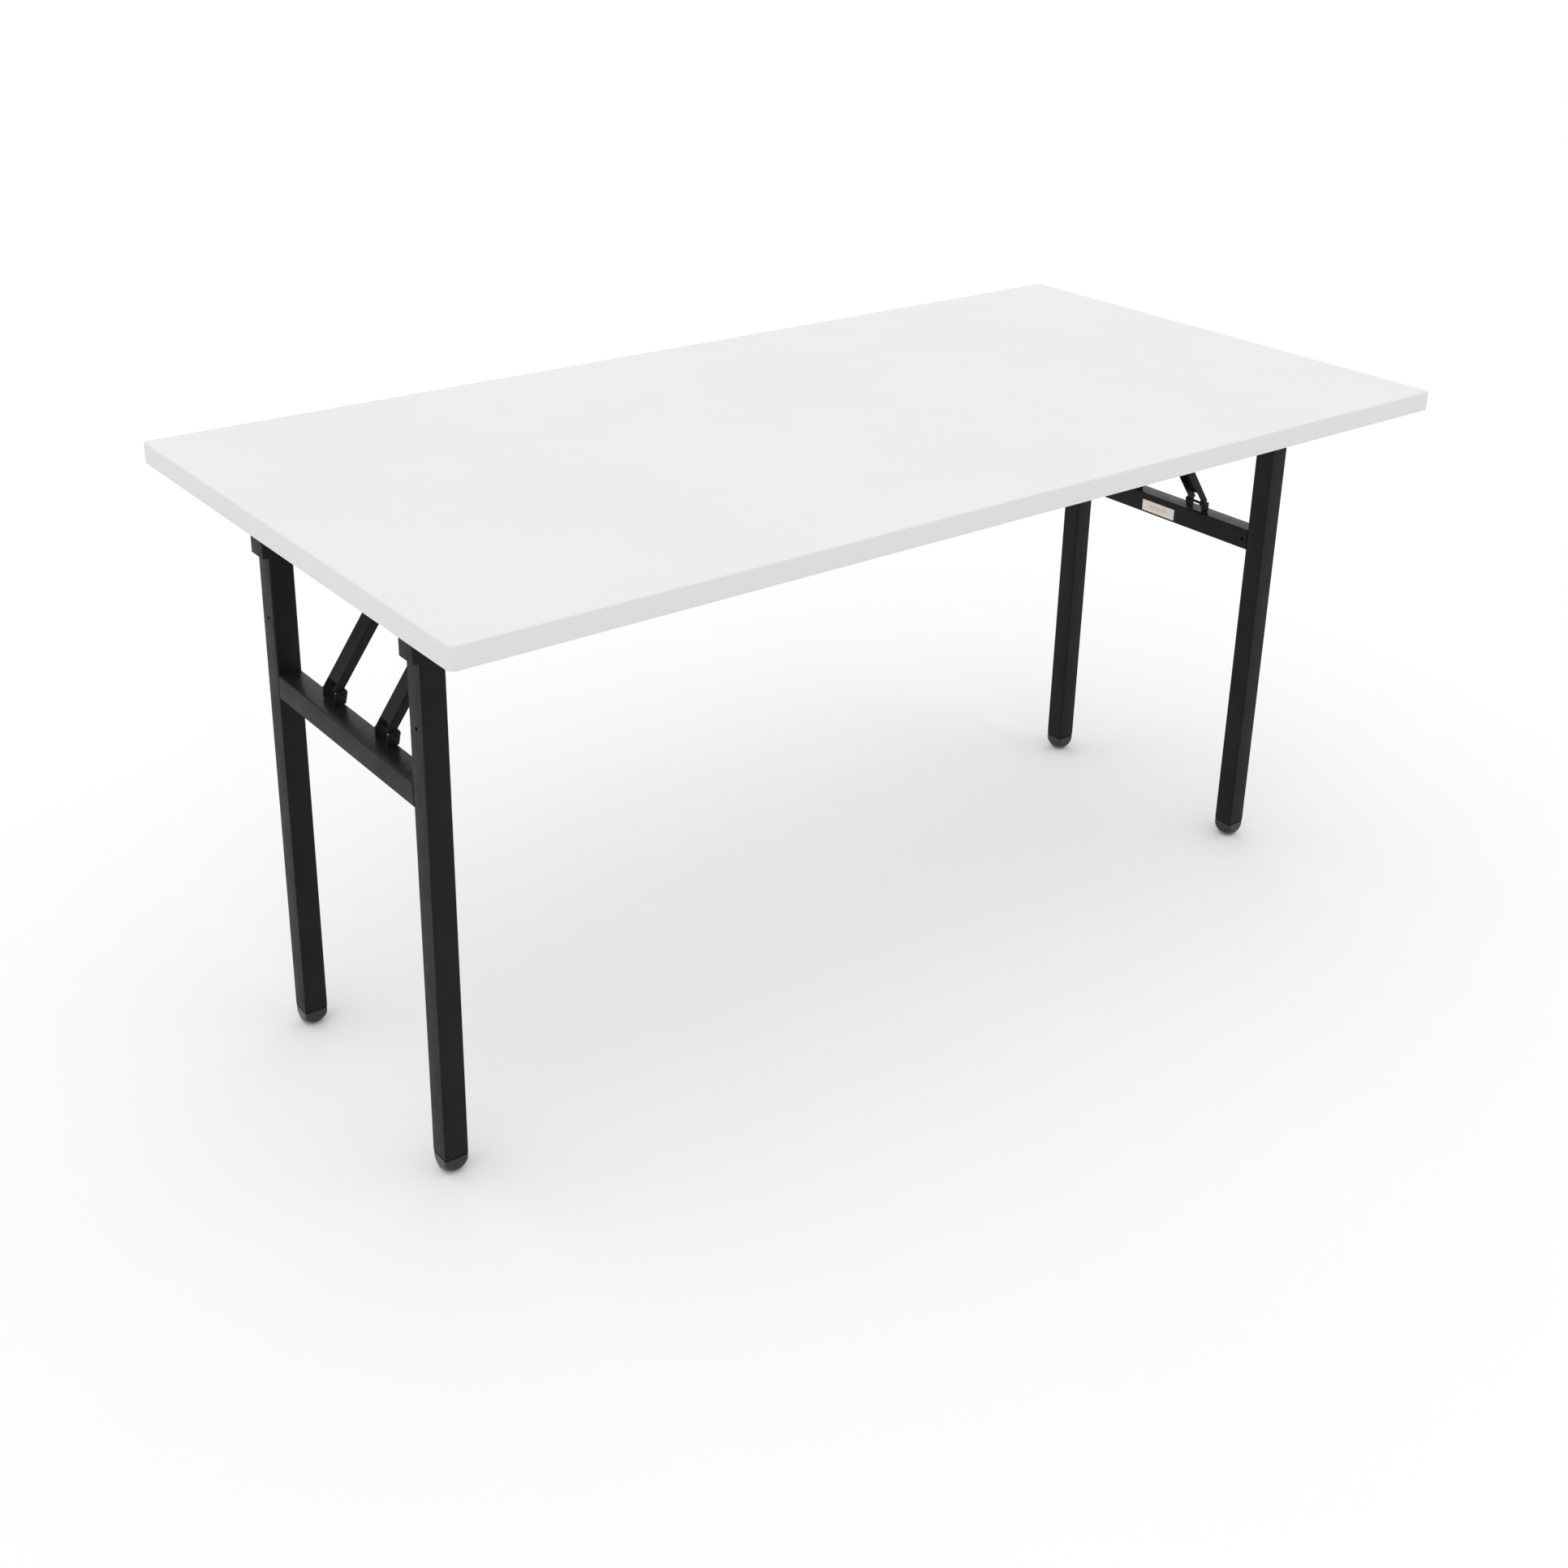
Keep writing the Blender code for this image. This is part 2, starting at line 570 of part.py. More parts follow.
def make_catch(end, side, place, depth):
    """Leaf spring under the guide's flange, whose nose bears down beside the rod's end."""
    rod_distance, rod_height = rod_place(CATCH_NOSE_SHARE)
    nose_z = rod_height + ROD_RADIUS + CATCH_NOSE_GAP
    foot_z = FIX_Z - GUIDE_SHEET - GAP - CATCH_SHEET / 2
    start = rod_distance - CATCH_LENGTH
    foot_end = start + CATCH_FOOT
    route = [(start, foot_z), (foot_end, foot_z), (foot_end + CATCH_BEND, foot_z - CATCH_DIP)]
    route += [(rod_distance + bends * CATCH_BEND, nose_z + gaps * CATCH_NOSE_GAP)
              for bends, gaps in CATCH_NOSE]
    upper = offset_route(route, CATCH_SHEET / 2)
    lower = offset_route(route, -CATCH_SHEET / 2)
    y = depth * (GUIDE_Y + GUIDE_SHEET / 2 + GAP + CATCH_WIDTH / 2)
    make_prism("catch_spring_%s_%s" % (end, place), [mirrored(side, upper + lower[::-1])],
               (0, y, 0), CATCH_WIDTH, FRONT_VIEW, SPRING)


def offset_route(route, distance):
    """The points of a route moved sideways by a distance."""
    points = [Vector(point) for point in route]
    moved = []
    for index, point in enumerate(points):
        along = points[min(index + 1, len(points) - 1)] - points[max(index - 1, 0)]
        along.normalize()
        moved.append((point.x - along.y * distance, point.y + along.x * distance))
    return moved


# Label

def make_label():
    """Blank paper label on the inner face of the right crossbar."""
    face = LEG_X - TUBE / 2 - GAP
    make_box("label", (face - LABEL_SHEET, LABEL_Y - LABEL_LENGTH / 2, LABEL_Z - LABEL_HEIGHT / 2),
             (face, LABEL_Y + LABEL_LENGTH / 2, LABEL_Z + LABEL_HEIGHT / 2), PAPER)


def build_table():
    make_top()
    for end, side in SIDES.items():
        make_crossbar(end, side)
        make_rod(end, side)
        for place, depth in DEPTHS.items():
            make_housing(end, side, place, depth)
            make_leg(end, side, place, depth)
            make_lug(end, side, place, depth)
            make_brace(end, side, place, depth)
            make_guide(end, side, place, depth)
            make_catch(end, side, place, depth)
    make_label()


build_table()
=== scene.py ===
"""Looks of the folding table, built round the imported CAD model, in metres and +Z up."""

import json
import math

import bmesh
import bpy
from mathutils import Matrix, Vector


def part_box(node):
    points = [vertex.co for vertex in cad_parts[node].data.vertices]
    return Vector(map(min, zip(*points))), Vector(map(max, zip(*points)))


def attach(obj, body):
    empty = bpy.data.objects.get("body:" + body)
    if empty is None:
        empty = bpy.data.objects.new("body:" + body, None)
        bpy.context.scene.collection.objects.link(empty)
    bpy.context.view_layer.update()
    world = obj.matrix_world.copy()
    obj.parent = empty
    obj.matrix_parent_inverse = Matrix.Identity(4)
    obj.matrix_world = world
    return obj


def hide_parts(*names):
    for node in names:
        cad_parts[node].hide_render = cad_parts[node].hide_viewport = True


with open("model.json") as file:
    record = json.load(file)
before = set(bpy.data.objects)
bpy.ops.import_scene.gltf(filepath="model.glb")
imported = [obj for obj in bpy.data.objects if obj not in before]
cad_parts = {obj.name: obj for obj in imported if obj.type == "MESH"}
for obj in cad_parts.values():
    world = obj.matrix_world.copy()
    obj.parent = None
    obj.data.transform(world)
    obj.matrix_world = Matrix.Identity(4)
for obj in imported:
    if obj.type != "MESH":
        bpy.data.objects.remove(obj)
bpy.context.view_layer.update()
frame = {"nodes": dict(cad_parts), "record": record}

ENDS = {"left": -1, "right": 1}
PLACES = {"front": -1, "rear": 1}
JOINTS = {joint["name"]: joint for joint in frame["record"]["behaviour"]["joints"]}

# Sizes in metres that boxes alone don't give, as in the CAD model
TUBE_WALL = 0.0015
TUBE_CORNER = 0.0022
PLAN_CORNER = 0.008
BAND_ROUND = 0.0007
VENT_RADIUS = 0.0024
VENT_Z = 0.564
BOLT_HOLE = 0.0043
GLIDE_DOME = 0.0215
GLIDE_NECK = 0.0018
GLIDE_SEAM = 0.0014
GLIDE_SIDES = 72
GLIDE_LEVELS = 18
LUG_SHEET = 0.0024
LUG_BASE_INNER_X = 0.6602
EAR_CORNER = 0.0012
PIN_HOLE = 0.0023
BRACE_SHEET = 0.0020
BRACE_BACK = 0.0062
BRACE_LIP = 0.0068
BRACE_FOOT_BACK = 0.0117
BRACE_FOOT_LIP = -0.0007
BRACE_EAR = 0.0045
BRACE_WEB_CUT = 0.0066
BRACE_END_ROUND = 0.0015
ROD_RADIUS = 0.0030
ROD_CHAMFER = 0.0006
CLIP_INSET = 0.0024
CLIP_SECTION = ((0.0031, 0.0009), (0.0052, 0.0009), (0.0066, 0.0002), (0.0068, -0.0003),
                (0.0062, -0.0005), (0.0031, -0.0001), (0.0031, 0.0009))
BUSH_CHAMFER = 0.0005
HOUSING_SHEET = 0.0012
HOUSING_SIDE_GAP = 0.0004
HOUSING_HEEL_X = 0.672
HOUSING_SHOULDER_X = 0.645
HOUSING_SHOULDER_Z = 0.669
HOUSING_CUT_PAST = 0.028
FLANGE_CORNER = 0.004
FLANGE_SCREW_X = 0.014
FLANGE_SCREW_Y = 0.0095
BOLT_RADIUS = 0.0040
BOLT_HEAD_RADIUS = 0.0072
BOLT_CHAMFER = 0.0008
SOCKET_RADIUS = 0.0028
SOCKET_LENGTH = 0.0046
SOCKET_OUT = 0.0005
NUT_RADIUS = 0.0075
NUT_BORE = 0.0041
NUT_CONE = 0.0076
NUT_FACE = 0.0064
NUT_CHAMFER = 0.0008
SEAT_GAP = 0.0004
THROUGH = 0.08
GUIDE_SHEET = 0.0025
WELD = 0.0011
WELD_RIPPLE = 0.0030
WELD_STEP = 0.0008
WELD_SIDES = 10
SCREW_HEAD = 0.0040
SCREW_CROWN = 0.0016
SCREW_RIM = 0.0006
RECESS_WIDTH = 0.0009
RECESS_LENGTH = 0.0042
GUIDE_SCREWS = (0.08, 0.5, 0.92)
GUIDE_SCREW_OUT = 0.0025
VENT_INSET = 0.008
CLEARANCE = 0.0003
DOME_TURNS = (20, 40, 60, 75, 90)

# Camera, light and floor: metres, degrees, and the sensor's millimetres
CAMERA_PLACE = (-1.5384, -1.8679, 1.4774)
CAMERA_AIM = (0.5754, 0.7287, -0.3715)
CAMERA_ROLL = -1.26
CAMERA_LENS = 45.376
CAMERA_SENSOR = 36.0
CAMERA_SHIFT = -0.1287
SUN_AIM = (0.35, 0.18, -1.0)
SUN_STRENGTH = 0.40
SUN_ANGLE = 80
FLOOR_REACH = 60
FLOOR_THICKNESS = 0.02


# Node helpers

def start_material(name):
    material = bpy.data.materials.new(name)
    material.use_nodes = True
    tree = material.node_tree
    return material, tree, tree.nodes["Principled BSDF"]


def plain(shader, **values):
    """Set constant values on the shader's own sockets."""
    for name, value in values.items():
        shader.inputs[name.replace("_", " ")].default_value = value


def coordinates(tree, scale=(1, 1, 1)):
    source = tree.nodes.new("ShaderNodeTexCoord")
    mapping = tree.nodes.new("ShaderNodeMapping")
    mapping.inputs["Scale"].default_value = scale
    tree.links.new(source.outputs["Object"], mapping.inputs["Vector"])
    return mapping.outputs["Vector"]


def noise(tree, size, detail=3, rough=0.5, stretch=(1, 1, 1)):
    """Noise whose features are about size metres across."""
    node = tree.nodes.new("ShaderNodeTexNoise")
    node.inputs["Scale"].default_value = 1 / size
    node.inputs["Detail"].default_value = detail
    node.inputs["Roughness"].default_value = rough
    tree.links.new(coordinates(tree, stretch), node.inputs["Vector"])
    return node.outputs["Fac"]


def cells(tree, size, stretch=(1, 1, 1)):
    node = tree.nodes.new("ShaderNodeTexVoronoi")
    node.inputs["Scale"].default_value = 1 / size
    tree.links.new(coordinates(tree, stretch), node.inputs["Vector"])
    return node.outputs["Color"]


def spread_value(tree, source, low, high, start=0.0, end=1.0):
    """Map a value from start..end to low..high, clamped."""
    node = tree.nodes.new("ShaderNodeMapRange")
    node.inputs["From Min"].default_value = start
    node.inputs["From Max"].default_value = end
    node.inputs["To Min"].default_value = low
    node.inputs["To Max"].default_value = high
    tree.links.new(source, node.inputs["Value"])
    return node.outputs["Result"]


def blend_colour(tree, factor, first, second):
    node = tree.nodes.new("ShaderNodeMix")
    node.data_type = "RGBA"
    for index, value in ((0, factor), (6, first), (7, second)):
        if isinstance(value, tuple):
            node.inputs[index].default_value = (*value, 1.0)
        else:
            tree.links.new(value, node.inputs[index])
    return node.outputs[2]


def combine(tree, operation, first, second):
    node = tree.nodes.new("ShaderNodeMath")
    node.operation = operation
    for index, value in enumerate((first, second)):
        if isinstance(value, float):
            node.inputs[index].default_value = value
        else:
            tree.links.new(value, node.inputs[index])
    return node.outputs[0]


def add_bump(tree, shader, height, depth):
    """Bump whose full height difference is depth metres; chains onto an earlier one."""
    node = tree.nodes.new("ShaderNodeBump")
    node.inputs["Distance"].default_value = depth
    tree.links.new(height, node.inputs["Height"])
    earlier = shader.inputs["Normal"].links
    if earlier:
        tree.links.new(earlier[0].from_socket, node.inputs["Normal"])
    tree.links.new(node.outputs["Normal"], shader.inputs["Normal"])


def edge_mask(tree, radius, low=0.02, high=0.25):
    """1 on convex and concave edges, 0 on flats, from the angle to a rounded normal."""
    bevel = tree.nodes.new("ShaderNodeBevel")
    bevel.samples = 4
    bevel.inputs["Radius"].default_value = radius
    geometry = tree.nodes.new("ShaderNodeNewGeometry")
    dot = tree.nodes.new("ShaderNodeVectorMath")
    dot.operation = "DOT_PRODUCT"
    tree.links.new(bevel.outputs["Normal"], dot.inputs[0])
    tree.links.new(geometry.outputs["Normal"], dot.inputs[1])
    return spread_value(tree, dot.outputs["Value"], 1.0, 0.0, 1.0 - high, 1.0 - low)


def upward(tree, start=0.6, end=0.98):
    """1 on faces that look up."""
    geometry = tree.nodes.new("ShaderNodeNewGeometry")
    split = tree.nodes.new("ShaderNodeSeparateXYZ")
    tree.links.new(geometry.outputs["Normal"], split.inputs["Vector"])
    return spread_value(tree, split.outputs["Z"], 0.0, 1.0, start, end)


# Materials

def melamine():
    """White melamine: a fine pearl texture, faint handling marks in the gloss."""
    material, tree, shader = start_material("white_melamine")
    fleck = noise(tree, 0.0016, 2)
    cloud = noise(tree, 0.35, 3)
    light = blend_colour(tree, spread_value(tree, cloud, 0.0, 1.0, 0.35, 0.65), (0.750, 0.751, 0.738),
                         (0.767, 0.767, 0.755))
    flecks = spread_value(tree, fleck, 0.0, 0.35, 0.45, 0.75)
    colour = blend_colour(tree, flecks, light, (0.715, 0.715, 0.704))
    tree.links.new(colour, shader.inputs["Base Color"])
    marks = noise(tree, 0.06, 5, 0.6)
    tree.links.new(spread_value(tree, marks, 0.38, 0.50, 0.3, 0.7), shader.inputs["Roughness"])
    plain(shader, Specular_IOR_Level=0.35)
    add_bump(tree, shader, noise(tree, 0.0009, 2), 0.00002)
    add_bump(tree, shader, noise(tree, 0.012, 2), 0.00003)
    return material


def edge_plastic():
    """Extruded plastic edging: faint streaks along the edge, a scuffed rounded arris, and base tones greyer
    than the top that are painted shade for its upright sides.
    """
    material, tree, shader = start_material("white_edge_band")
    streaks = noise(tree, 0.0012, 3, 0.6, (0.02, 0.02, 1.0))
    # Painted shade: these base tones sit below the top's white to stand for the lesser light on the edging's
    # upright sides.
    colour = blend_colour(tree, spread_value(tree, streaks, 0.0, 1.0, 0.3, 0.7), (0.668, 0.668, 0.665),
                          (0.692, 0.692, 0.688))
    scuff = spread_value(tree, noise(tree, 0.02, 6, 0.7), 0.0, 0.4, 0.62, 0.72)
    worn = combine(tree, "MULTIPLY", scuff, edge_mask(tree, 0.0012))
    colour = blend_colour(tree, worn, colour, (0.54, 0.53, 0.52))
    tree.links.new(colour, shader.inputs["Base Color"])
    tree.links.new(spread_value(tree, noise(tree, 0.04, 4), 0.40, 0.54), shader.inputs["Roughness"])
    plain(shader, Specular_IOR_Level=0.35)
    add_bump(tree, shader, streaks, 0.00002)
    return material


def backing():
    """Balancing sheet under the top: dull, slightly fibrous off-white."""
    material, tree, shader = start_material("underside_laminate")
    fibre = noise(tree, 0.003, 5, 0.7, (0.15, 1, 1))
    colour = blend_colour(tree, spread_value(tree, fibre, 0.0, 1.0, 0.35, 0.7), (0.76, 0.755, 0.73),
                          (0.69, 0.68, 0.65))
    tree.links.new(colour, shader.inputs["Base Color"])
    tree.links.new(spread_value(tree, fibre, 0.5, 0.68), shader.inputs["Roughness"])
    add_bump(tree, shader, fibre, 0.00003)
    return material


def particle_board():
    material, tree, shader = start_material("particle_board")
    chips = cells(tree, 0.0028, stretch=(0.5, 0.5, 1.4))
    shade = tree.nodes.new("ShaderNodeSeparateXYZ")
    tree.links.new(chips, shade.inputs["Vector"])
    colour = blend_colour(tree, shade.outputs["X"], (0.32, 0.21, 0.12), (0.60, 0.45, 0.29))
    tree.links.new(colour, shader.inputs["Base Color"])
    tree.links.new(spread_value(tree, noise(tree, 0.001), 0.75, 0.95), shader.inputs["Roughness"])
    add_bump(tree, shader, shade.outputs["Y"], 0.0003)
    return material


def powder_coat():
    """Black powder coat: orange peel, uneven gloss that is higher on top, dust, rubbed edges."""
    material, tree, shader = start_material("black_powder_coat")
    cloud = noise(tree, 0.09, 4)
    base = blend_colour(tree, spread_value(tree, cloud, 0.0, 1.0, 0.35, 0.65), (0.0038, 0.0038, 0.0040),
                        (0.0064, 0.0063, 0.0060))
    film = spread_value(tree, noise(tree, 0.03, 6, 0.7), 0.03, 0.14)
    dust = combine(tree, "MULTIPLY", upward(tree), film)
    base = blend_colour(tree, dust, base, (0.10, 0.098, 0.092))
    patches = spread_value(tree, noise(tree, 0.012, 5, 0.65), 0.0, 0.5, 0.50, 0.70)
    worn = combine(tree, "MULTIPLY", patches, edge_mask(tree, 0.0011))
    base = blend_colour(tree, worn, base, (0.075, 0.073, 0.070))
    tree.links.new(base, shader.inputs["Base Color"])
    gloss = spread_value(tree, noise(tree, 0.025, 4), 0.44, 0.54, 0.3, 0.7)
    polish = combine(tree, "MULTIPLY", upward(tree), 0.19)
    tree.links.new(combine(tree, "SUBTRACT", gloss, polish), shader.inputs["Roughness"])
    plain(shader, Specular_IOR_Level=0.16)
    add_bump(tree, shader, noise(tree, 0.0016, 2, 0.4), 0.00004)
    return material


def zinc():
    """Bright zinc plate with a faint spangle and a warm passivated cast."""
    material, tree, shader = start_material("zinc_steel")
    plain(shader, Metallic=1.0)
    spangle = noise(tree, 0.0012, 3)
    colour = blend_colour(tree, spangle, (0.50, 0.50, 0.49), (0.66, 0.65, 0.61))
    tree.links.new(colour, shader.inputs["Base Color"])
    tree.links.new(spread_value(tree, noise(tree, 0.0006, 3), 0.26, 0.44), shader.inputs["Roughness"])
    add_bump(tree, shader, noise(tree, 0.0004, 2), 0.00001)
    return material


def spring_steel():
    material, tree, shader = start_material("spring_steel")
    plain(shader, Metallic=1.0)
    heat = noise(tree, 0.008, 3)
    colour = blend_colour(tree, heat, (0.20, 0.21, 0.25), (0.33, 0.31, 0.29))
    tree.links.new(colour, shader.inputs["Base Color"])
    tree.links.new(spread_value(tree, noise(tree, 0.0008, 3, 0.5, (0.05, 1, 1)), 0.28, 0.46),
                   shader.inputs["Roughness"])
    return material


def black_plastic():
    """Moulded glide: smooth, a little glossier than the paint, scuffed where it meets the floor."""
    material, tree, shader = start_material("black_plastic")
    place = tree.nodes.new("ShaderNodeTexCoord")
    split = tree.nodes.new("ShaderNodeSeparateXYZ")
    tree.links.new(place.outputs["Object"], split.inputs["Vector"])
    near_floor = spread_value(tree, split.outputs["Z"], 1.0, 0.0, 0.001, 0.010)
    patches = spread_value(tree, noise(tree, 0.002, 5, 0.7), 0.0, 1.0, 0.4, 0.7)
    scuff = combine(tree, "MULTIPLY", near_floor, patches)
    colour = blend_colour(tree, scuff, (0.0060, 0.0060, 0.0066), (0.040, 0.039, 0.037))
    tree.links.new(colour, shader.inputs["Base Color"])
    gloss = spread_value(tree, noise(tree, 0.004, 3), 0.18, 0.28)
    dulled = combine(tree, "MULTIPLY", scuff, 0.4)
    tree.links.new(combine(tree, "ADD", gloss, dulled), shader.inputs["Roughness"])
    add_bump(tree, shader, noise(tree, 0.0007, 2), 0.00002)
    return material


def nylon():
    material, tree, shader = start_material("nylon")
    plain(shader, Subsurface_Weight=0.15, Subsurface_Scale=0.002)
    colour = blend_colour(tree, noise(tree, 0.003, 3), (0.40, 0.40, 0.39), (0.50, 0.50, 0.48))
    tree.links.new(colour, shader.inputs["Base Color"])
    tree.links.new(spread_value(tree, noise(tree, 0.001), 0.42, 0.58), shader.inputs["Roughness"])
    return material


def label_paper():
    """Cream paper with a faded pinkish print block, too worn to read, and a thin border."""
    material, tree, shader = start_material("label_paper")
    low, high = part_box("label")
    middle = (Vector(low) + Vector(high)) / 2
    size = Vector(high) - Vector(low)
    source = tree.nodes.new("ShaderNodeTexCoord")
    split = tree.nodes.new("ShaderNodeSeparateXYZ")
    tree.links.new(source.outputs["Object"], split.inputs["Vector"])
    across = combine(tree, "ABSOLUTE", combine(tree, "SUBTRACT", split.outputs["Y"], middle.y), 0.0)
    up = combine(tree, "ABSOLUTE", combine(tree, "SUBTRACT", split.outputs["Z"], middle.z), 0.0)
    inside = combine(tree, "MULTIPLY", spread_value(tree, across, 1.0, 0.0, size.y * 0.22, size.y * 0.40),
                     spread_value(tree, up, 1.0, 0.0, size.z * 0.10, size.z * 0.30))
    fade = spread_value(tree, noise(tree, 0.003, 5, 0.7, (1, 0.4, 1)), 0.2, 1.0)
    blot = combine(tree, "MULTIPLY", inside, fade)
    grain = blend_colour(tree, noise(tree, 0.0015, 4, 0.7), (0.70, 0.655, 0.60), (0.80, 0.765, 0.71))
    colour = blend_colour(tree, combine(tree, "MULTIPLY", blot, 0.75), grain, (0.56, 0.36, 0.31))
    border = combine(tree, "MAXIMUM", spread_value(tree, across, 0.0, 1.0, size.y * 0.455, size.y * 0.465),
                     spread_value(tree, up, 0.0, 1.0, size.z * 0.40, size.z * 0.43))
    colour = blend_colour(tree, combine(tree, "MULTIPLY", border, 0.25), colour, (0.50, 0.48, 0.45))
    tree.links.new(colour, shader.inputs["Base Color"])
    tree.links.new(spread_value(tree, noise(tree, 0.004), 0.5, 0.7), shader.inputs["Roughness"])
    add_bump(tree, shader, noise(tree, 0.0006, 4, 0.7), 0.00003)
    return material


FINISH = {
    "white_melamine": melamine(),
    "white_edge_band": edge_plastic(),
    "underside_laminate": backing(),
    "particle_board": particle_board(),
    "black_powder_coat": powder_coat(),
    "zinc_steel": zinc(),
    "spring_steel": spring_steel(),
    "black_plastic": black_plastic(),
    "nylon": nylon(),
    "label_paper": label_paper(),
}


# Shape helpers: every piece is built in place, in the row frame

PLAN = Matrix.Identity(4)
FRONT_VIEW = Matrix(((1, 0, 0, 0), (0, 0, -1, 0), (0, 1, 0, 0), (0, 0, 0, 1)))
END_VIEW = Matrix(((0, 0, 1, 0), (1, 0, 0, 0), (0, 1, 0, 0), (0, 0, 0, 1)))


def arc(centre, radius, start, end, steps):
    turns = [math.radians(start + (end - start) * step / steps) for step in range(steps + 1)]
    return [(centre[0] + radius * math.cos(turn), centre[1] + radius * math.sin(turn)) for turn in turns]


def circle(centre, radius, steps=32):
    return arc(centre, radius, 0, 360, steps)[:-1]


def rounded_rectangle(width, height, radius, steps=6):
    points = []
    for turn, (across, up) in enumerate(((1, 1), (-1, 1), (-1, -1), (1, -1))):
        centre = (across * (width / 2 - radius), up * (height / 2 - radius))
        points += arc(centre, radius, 90 * turn, 90 * turn + 90, steps)
    return points


def mirrored(side, outline):
    return [(side * distance, height) for distance, height in outline]


def new_item(name, mesh):
    item = bpy.data.objects.new(name, mesh)
    bpy.context.scene.collection.objects.link(item)
    return item


def item_from_shape(name, shape):
    bmesh.ops.recalc_face_normals(shape, faces=shape.faces)
    mesh = bpy.data.meshes.new(name)
    shape.to_mesh(mesh)
    shape.free()
    return new_item(name, mesh)


def box(name, low, high):
    centre = (Vector(low) + Vector(high)) / 2
    size = [max(abs(b - a), 1e-6) for a, b in zip(low, high)]
    shape = bmesh.new()
    place = Matrix.Translation(centre) @ Matrix.Diagonal((*size, 1.0))
    bmesh.ops.create_cube(shape, size=1.0, matrix=place)
    return item_from_shape(name, shape)


def prism(name, outlines, middle, thickness, plane):
    """Outlines extruded both ways from middle: the first is the boundary, the rest holes."""
    curve = bpy.data.curves.new(name, "CURVE")
    curve.dimensions = "2D"
    curve.fill_mode = "BOTH"
    curve.extrude = thickness / 2
    for outline in outlines:
        spline = curve.splines.new("POLY")
        spline.points.add(len(outline) - 1)
        for point, (across, up) in zip(spline.points, outline):
            point.co = (across, up, 0.0, 1.0)
        spline.use_cyclic_u = True
    holder = new_item(name + "_outline", curve)
    bpy.context.view_layer.update()
    mesh = bpy.data.meshes.new_from_object(holder.evaluated_get(bpy.context.evaluated_depsgraph_get()))
    bpy.data.objects.remove(holder, do_unlink=True)
    shape = bmesh.new()
    shape.from_mesh(mesh)
    bmesh.ops.remove_doubles(shape, verts=shape.verts, dist=0.00001)
    bmesh.ops.dissolve_limit(shape, angle_limit=0.0005, verts=shape.verts, edges=shape.edges)
    bmesh.ops.transform(shape, matrix=Matrix.Translation(middle) @ plane, verts=shape.verts)
    return item_from_shape(name, shape)


def turned(name, profile, middle, axis, steps=32):
    """Spin (radius, height) points about an axis through middle."""
    shape = bmesh.new()
    verts = [shape.verts.new((radius, 0.0, height)) for radius, height in profile]
    edges = [shape.edges.new(pair) for pair in zip(verts, verts[1:])]
    bmesh.ops.spin(shape, geom=verts + edges, axis=(0, 0, 1), cent=(0, 0, 0), steps=steps,
                   angle=2 * math.pi)
    bmesh.ops.remove_doubles(shape, verts=shape.verts, dist=0.000005)
    turn = Vector((0, 0, 1)).rotation_difference(Vector(axis)).to_matrix().to_4x4()
    bmesh.ops.transform(shape, matrix=Matrix.Translation(middle) @ turn, verts=shape.verts)
    return item_from_shape(name, shape)


def bake(item):
    """Apply a piece's modifiers to its mesh."""
    bpy.context.view_layer.update()
    graph = bpy.context.evaluated_depsgraph_get()
    mesh = bpy.data.meshes.new_from_object(item.evaluated_get(graph))
    item.modifiers.clear()
    item.data = mesh


def carve(item, *tools, operation="DIFFERENCE"):
    for tool in tools:
        modifier = item.modifiers.new(tool.name, "BOOLEAN")
        modifier.operation = operation
        modifier.object = tool
        modifier.solver = "EXACT"
    bake(item)
    for tool in tools:
        bpy.data.objects.remove(tool, do_unlink=True)
    return item


def soften(item, width, segments=2, angle=38):
    """Round the sharp edges a little, as a press or a tumbler leaves them."""
    shape = bmesh.new()
    shape.from_mesh(item.data)
    bmesh.ops.remove_doubles(shape, verts=shape.verts, dist=0.000004)
    bmesh.ops.dissolve_limit(shape, angle_limit=0.002, verts=shape.verts, edges=shape.edges)
    shape.to_mesh(item.data)
    shape.free()
    bevel = item.modifiers.new("soften", "BEVEL")
    bevel.width = width
    bevel.segments = segments
    bevel.limit_method = "ANGLE"
    bevel.angle_limit = math.radians(angle)
    bevel.harden_normals = True
    item.data.shade_smooth()
    return item


def shade(item, angle=35):
    item.data.shade_smooth()
    item.data.set_sharp_from_angle(angle=math.radians(angle))
    return item


def present(item, body, slot, *nodes):
    """Give a piece its finish, its body and the CAD nodes that it stands for."""
    item.data.materials.clear()
    item.data.materials.append(FINISH[slot])
    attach(item, body)
    if nodes:
        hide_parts(*nodes)
    return item


def corners(node):
    low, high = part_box(node)
    return Vector(low), Vector(high)


def middle_of(node):
    low, high = corners(node)
    return (low + high) / 2


# Camera, light and floor

def make_camera():
    data = bpy.data.cameras.new("camera")
    data.lens = CAMERA_LENS
    data.sensor_width = CAMERA_SENSOR
    data.shift_y = CAMERA_SHIFT
    camera = bpy.data.objects.new("camera", data)
    bpy.context.scene.collection.objects.link(camera)
    forward = Vector(CAMERA_AIM).normalized()
    roll = Matrix.Rotation(math.radians(CAMERA_ROLL), 4, forward)
    aim = forward.to_track_quat("-Z", "Y").to_matrix().to_4x4()
    camera.matrix_world = Matrix.Translation(CAMERA_PLACE) @ roll @ aim
    bpy.context.scene.camera = camera


